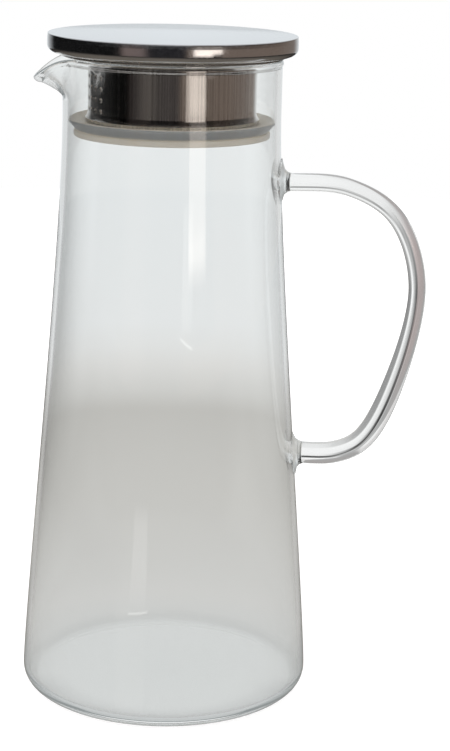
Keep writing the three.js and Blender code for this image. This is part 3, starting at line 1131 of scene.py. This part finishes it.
def glowingCard(name, spec, length, matrix):
    # a lit card that only reflections and bounced light see, with its glow spread along its length
    bm = bmesh.new()
    bmesh.ops.create_grid(bm, x_segments=1, y_segments=1, size=0.5)
    bmesh.ops.scale(bm, vec=(spec["width"], length, 1), verts=bm.verts[:])
    bmesh.ops.translate(bm, vec=(0, length / 2, 0), verts=bm.verts[:])
    taper = spec.get("nearWidth", spec["width"]) / spec["width"]
    bmesh.ops.scale(bm, vec=(taper, 1, 1), verts=[v for v in bm.verts if v.co.y > length / 2])
    material, tree = stageMaterial(name)
    card = addObject(name, bm, material)
    card.matrix_world = matrix
    split = axes(tree, tree.nodes.new("ShaderNodeTexCoord").outputs["Object"])
    side, along = split["X"], split["Y"]
    share = ramp(tree, along, spec["fade"])
    path = tree.nodes.new("ShaderNodeLightPath")
    if "fadeInJug" in spec:
        narrow = compute(tree, "LESS_THAN", side, spec["lowRight"][0])
        high = compute(tree, "GREATER_THAN", along, spec["lowRight"][1])
        share = compute(tree, "MULTIPLY", share, compute(tree, "MAXIMUM", narrow, high))
        inJug = compute(tree, "GREATER_THAN", path.outputs["Transmission Depth"], studio["insideJug"])
        share = blend(tree, inJug, share, ramp(tree, along, spec["fadeInJug"]))
    bounced = compute(tree, "GREATER_THAN", bounceCount(tree, path), 0.5)
    if "highest" in spec:
        across = compute(tree, "SUBTRACT", spec["far"] - studio["lidFront"], along)
        wayBack = compute(tree, "POWER", path.outputs["Ray Length"], 2.0)
        drop = compute(tree, "SUBTRACT", wayBack, compute(tree, "POWER", across, 2.0))
        close = compute(tree, "LESS_THAN", drop, spec["highest"] ** 2)
        bounced = compute(tree, "MULTIPLY", bounced, close)
    light = tree.nodes.new("ShaderNodeEmission")
    feed(tree, spec["colour"], light.inputs["Color"])
    feed(tree, compute(tree, "MULTIPLY", share, spec["glow"]), light.inputs["Strength"])
    chooseShader(tree, bounced, tree.nodes.new("ShaderNodeBsdfTransparent"), light)


def makeCards():
    # a tall softbox to the camera's right, a pale strip and a short bright bar on the floor to its left
    upright = (
        Matrix.Rotation(softbox["turn"], 4, "Z")
        @ Matrix.Translation((0, -softbox["away"], softbox["bottom"]))
        @ Matrix.Rotation(math.pi / 2, 4, "X")
    )
    glowingCard("softboxCard", softbox, softbox["top"] - softbox["bottom"], upright)
    for name, spec in (("floorStrip", floorStrip), ("floorDash", floorDash)):
        flat = (
            Matrix.Rotation(spec["turn"], 4, "Z")
            @ Matrix.Translation((0, -spec["far"], studio["stripLift"]))
            @ Matrix.Rotation(spec.get("skew", 0), 4, "Z")
        )
        glowingCard(name, spec, spec["far"] - spec["near"], flat)


def alongRow(row, offset):
    # brightness between the two neighbours in a row of offsets
    for (low, first), (high, second) in zip(row, row[1:]):
        if offset <= high:
            return first + part(offset, low, high) * (second - first)
    return row[-1][1]


def shadeBehindHandle(offset, facing, height):
    spec = handleCard
    rows = spec["stretches"]
    facing = min(max(facing, rows[0][0]), rows[-1][0] - 0.001)
    for (low, first), (high, second) in zip(rows, rows[1:]):
        if facing < high:
            share = part(facing, low, high)
            value = alongRow(first, offset) * (1 - share) + alongRow(second, offset) * share
            break
    tinted = part(height, *spec["tintHeight"]) * part(facing, *spec["tintFacing"])
    tinted *= part(offset, *spec["tintNear"]) * part(offset, *spec["tintFar"])
    return tuple(value * (1 + tinted * (c - 1)) for c in spec["tint"]) + (1,)


def makeHandleCard():
    # a shaded card close behind the handle that only straight light through the rod alone sees
    spec = handleCard
    last = spec["railPoints"] - 1
    rail = evenly(handleRail(), spec["railPoints"])[0]
    nearest = KDTree(len(rail))
    for index, point in enumerate(rail):
        nearest.insert(point, index)
    nearest.balance()
    eye = Vector(viewpoint["place"])
    grown = (spec["away"] - eye.y) / -eye.y
    bm = bmesh.new()
    bmesh.ops.create_grid(bm, x_segments=spec["cells"][0], y_segments=spec["cells"][1], size=0.5)
    shade = bm.verts.layers.float_color.new("shade")
    for vert in bm.verts:
        x = spec["left"] + (vert.co.x + 0.5) * (spec["right"] - spec["left"])
        z = spec["bottom"] + (vert.co.y + 0.5) * spec["top"]
        vert.co = (x, spec["away"], z)
        atRod = Vector((x / grown, 0, eye.z + (z - eye.z) / grown))
        point, index, distance = nearest.find(atRod)
        along = rail[min(index + 1, last)] - rail[max(index - 1, 0)]
        outward = Vector((-along.z, 0, along.x)).normalized()
        offset = (atRod - point).dot(outward)
        facing = math.degrees(math.atan2(outward.x, outward.z))
        vert[shade] = shadeBehindHandle(offset * 1000, facing + 360 if facing < -90 else facing, atRod.z)
    material, tree = stageMaterial("handleCard")
    card = addObject("handleCard", bm, material)
    painted = tree.nodes.new("ShaderNodeAttribute")
    painted.attribute_name = "shade"
    light = tree.nodes.new("ShaderNodeEmission")
    feed(tree, painted.outputs["Color"], light.inputs["Color"])
    path = tree.nodes.new("ShaderNodeLightPath")
    single = compute(tree, "COMPARE", path.outputs["Transmission Depth"], 2.0, 0.5)
    straight = compute(tree, "LESS_THAN", bounceCount(tree, path), 0.5)
    seen = compute(tree, "MULTIPLY", single, straight)
    chooseShader(tree, seen, tree.nodes.new("ShaderNodeBsdfTransparent"), light)


def makeLamp():
    data = bpy.data.lights.new("keyLamp", "AREA")
    data.energy = keyLamp["power"]
    data.size = keyLamp["size"]
    lamp = bpy.data.objects.new("keyLamp", data)
    lamp.location = keyLamp["place"]
    lamp.visible_glossy = False
    lamp.visible_transmission = False
    lamp.rotation_euler = (-Vector(keyLamp["place"])).to_track_quat("-Z", "Y").to_euler()
    scene.collection.objects.link(lamp)


makeFloor()
makeWorld()
makeCards()
makeHandleCard()
makeLamp()
scene.view_settings.view_transform = "Standard"
scene.cycles.max_bounces = 96  # light is caught inside the thick glass for many turns
scene.cycles.glossy_bounces = 64
scene.cycles.transmission_bounces = 40
print("studio lit")
